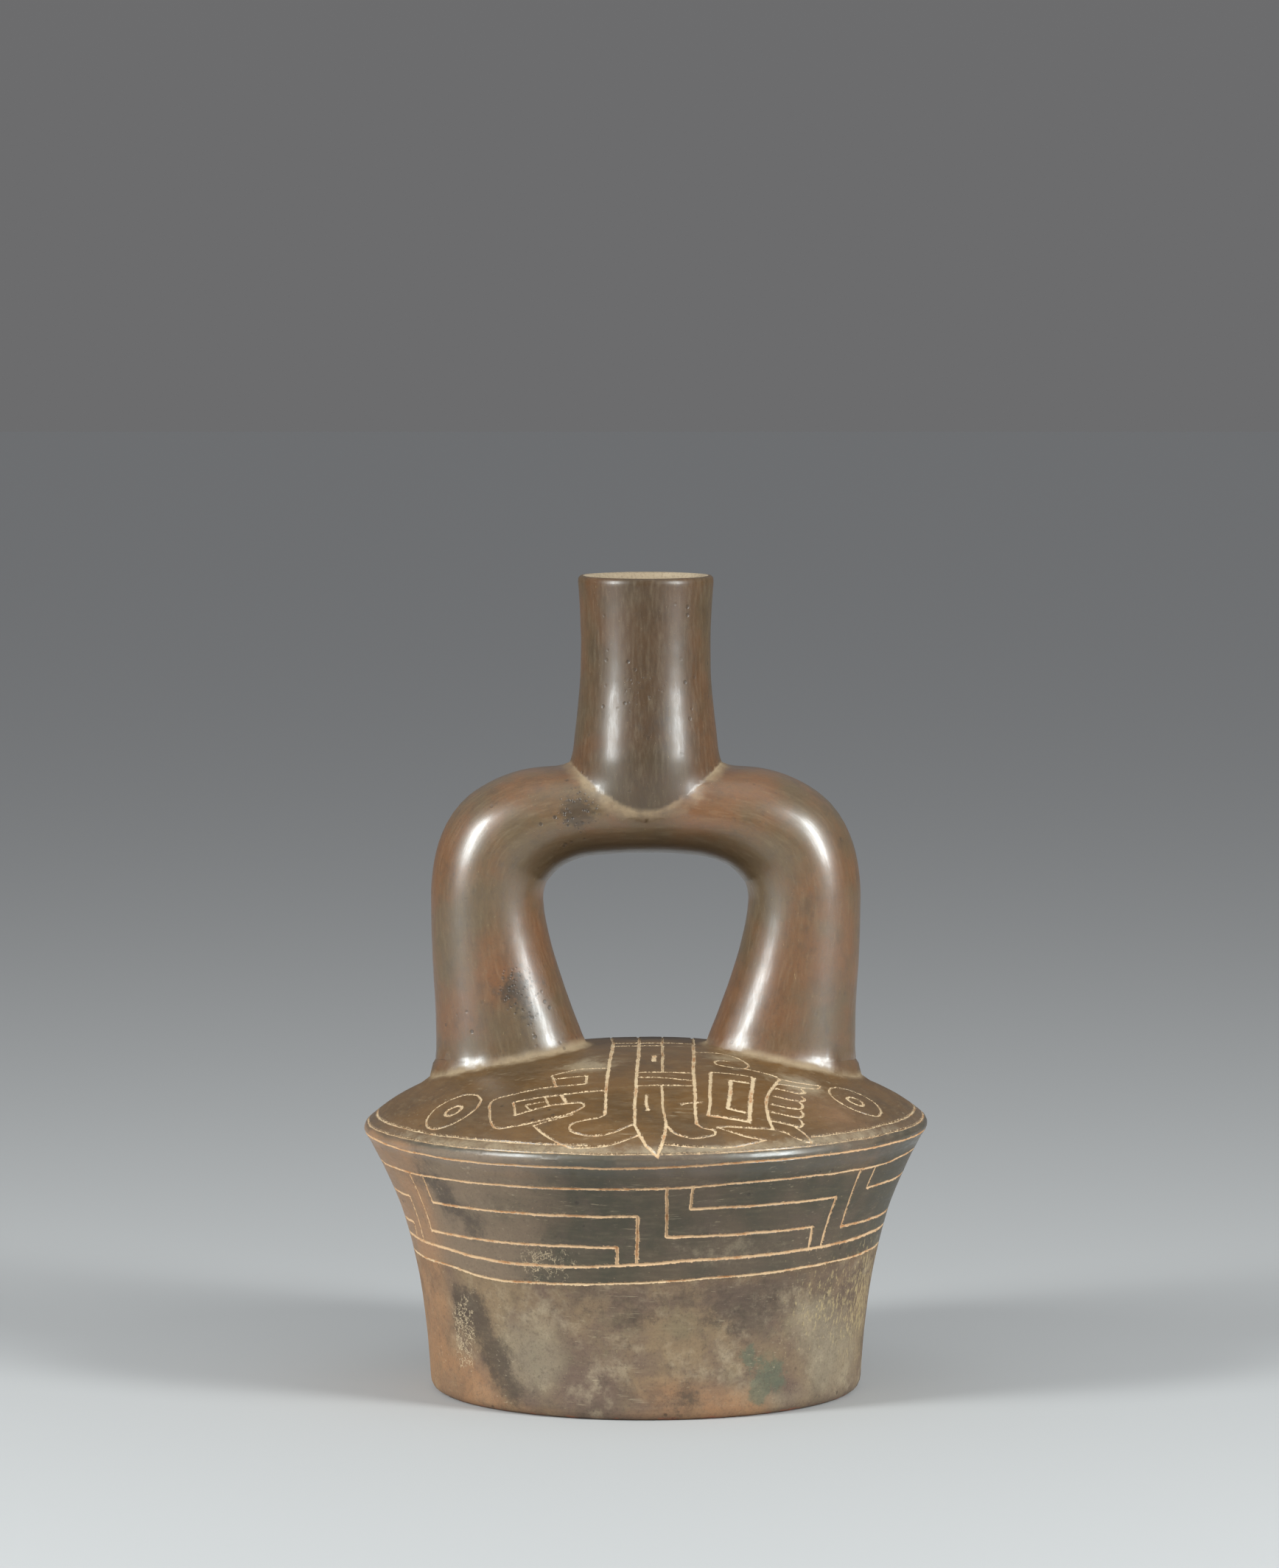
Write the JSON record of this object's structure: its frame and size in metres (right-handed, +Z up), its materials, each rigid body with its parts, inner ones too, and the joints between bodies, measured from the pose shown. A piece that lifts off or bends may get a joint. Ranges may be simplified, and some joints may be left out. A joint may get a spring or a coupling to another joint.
{
  "type": "stirrup spout vessel",
  "caption": "Hollow fired clay bottle with a flaring drum body, low carved cap, stirrup handle tube and one straight spout.",
  "frame": {"origin": "middle of the flat underside, on the plane the vessel rests on", "axes": "+Z up through the spout; -Y is the front with the carved head on the cap; the stirrup stands along X"},
  "size_m": [0.1662, 0.1662, 0.24],
  "materials": {
    "burnished_clay": "burnished brown and grey fired clay with pale pigment rubbed in the incised lines"
  },
  "bodies": {
    "root": {"vessel": "burnished_clay"}
  },
  "joints": []
}
